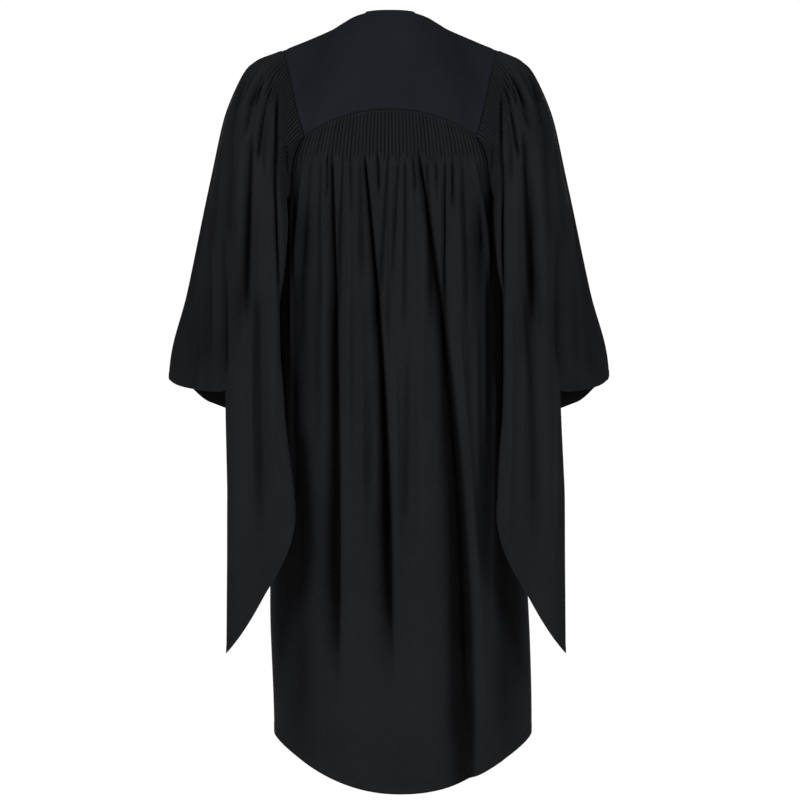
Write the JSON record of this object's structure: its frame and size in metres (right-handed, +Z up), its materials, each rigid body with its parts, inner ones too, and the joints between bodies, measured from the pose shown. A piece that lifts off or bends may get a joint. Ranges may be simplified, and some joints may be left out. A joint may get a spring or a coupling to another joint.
{
  "type": "graduation gown",
  "caption": "Open-front graduation gown with a smooth yoke, a fluted back and long pointed sleeves, filled out as worn, open at neck, cuffs, front and hem.",
  "frame": {"origin": "midway between the wearer's shoulders, level with the base of the neck, where the gown is carried", "axes": "+Z up, -Y towards the wearer's back, +X towards the wearer's right"},
  "size_m": [0.6577, 0.3084, 1.1409],
  "materials": {
    "yoke_cloth": "matte black plain weave, lying smooth",
    "gown_cloth": "matte black plain weave, hanging in folds"
  },
  "bodies": {
    "root": {"yoke": "yoke_cloth", "back_panel": "gown_cloth", "sleeve_left": "gown_cloth", "sleeve_right": "gown_cloth", "front_left": "gown_cloth", "front_right": "gown_cloth"}
  },
  "joints": []
}
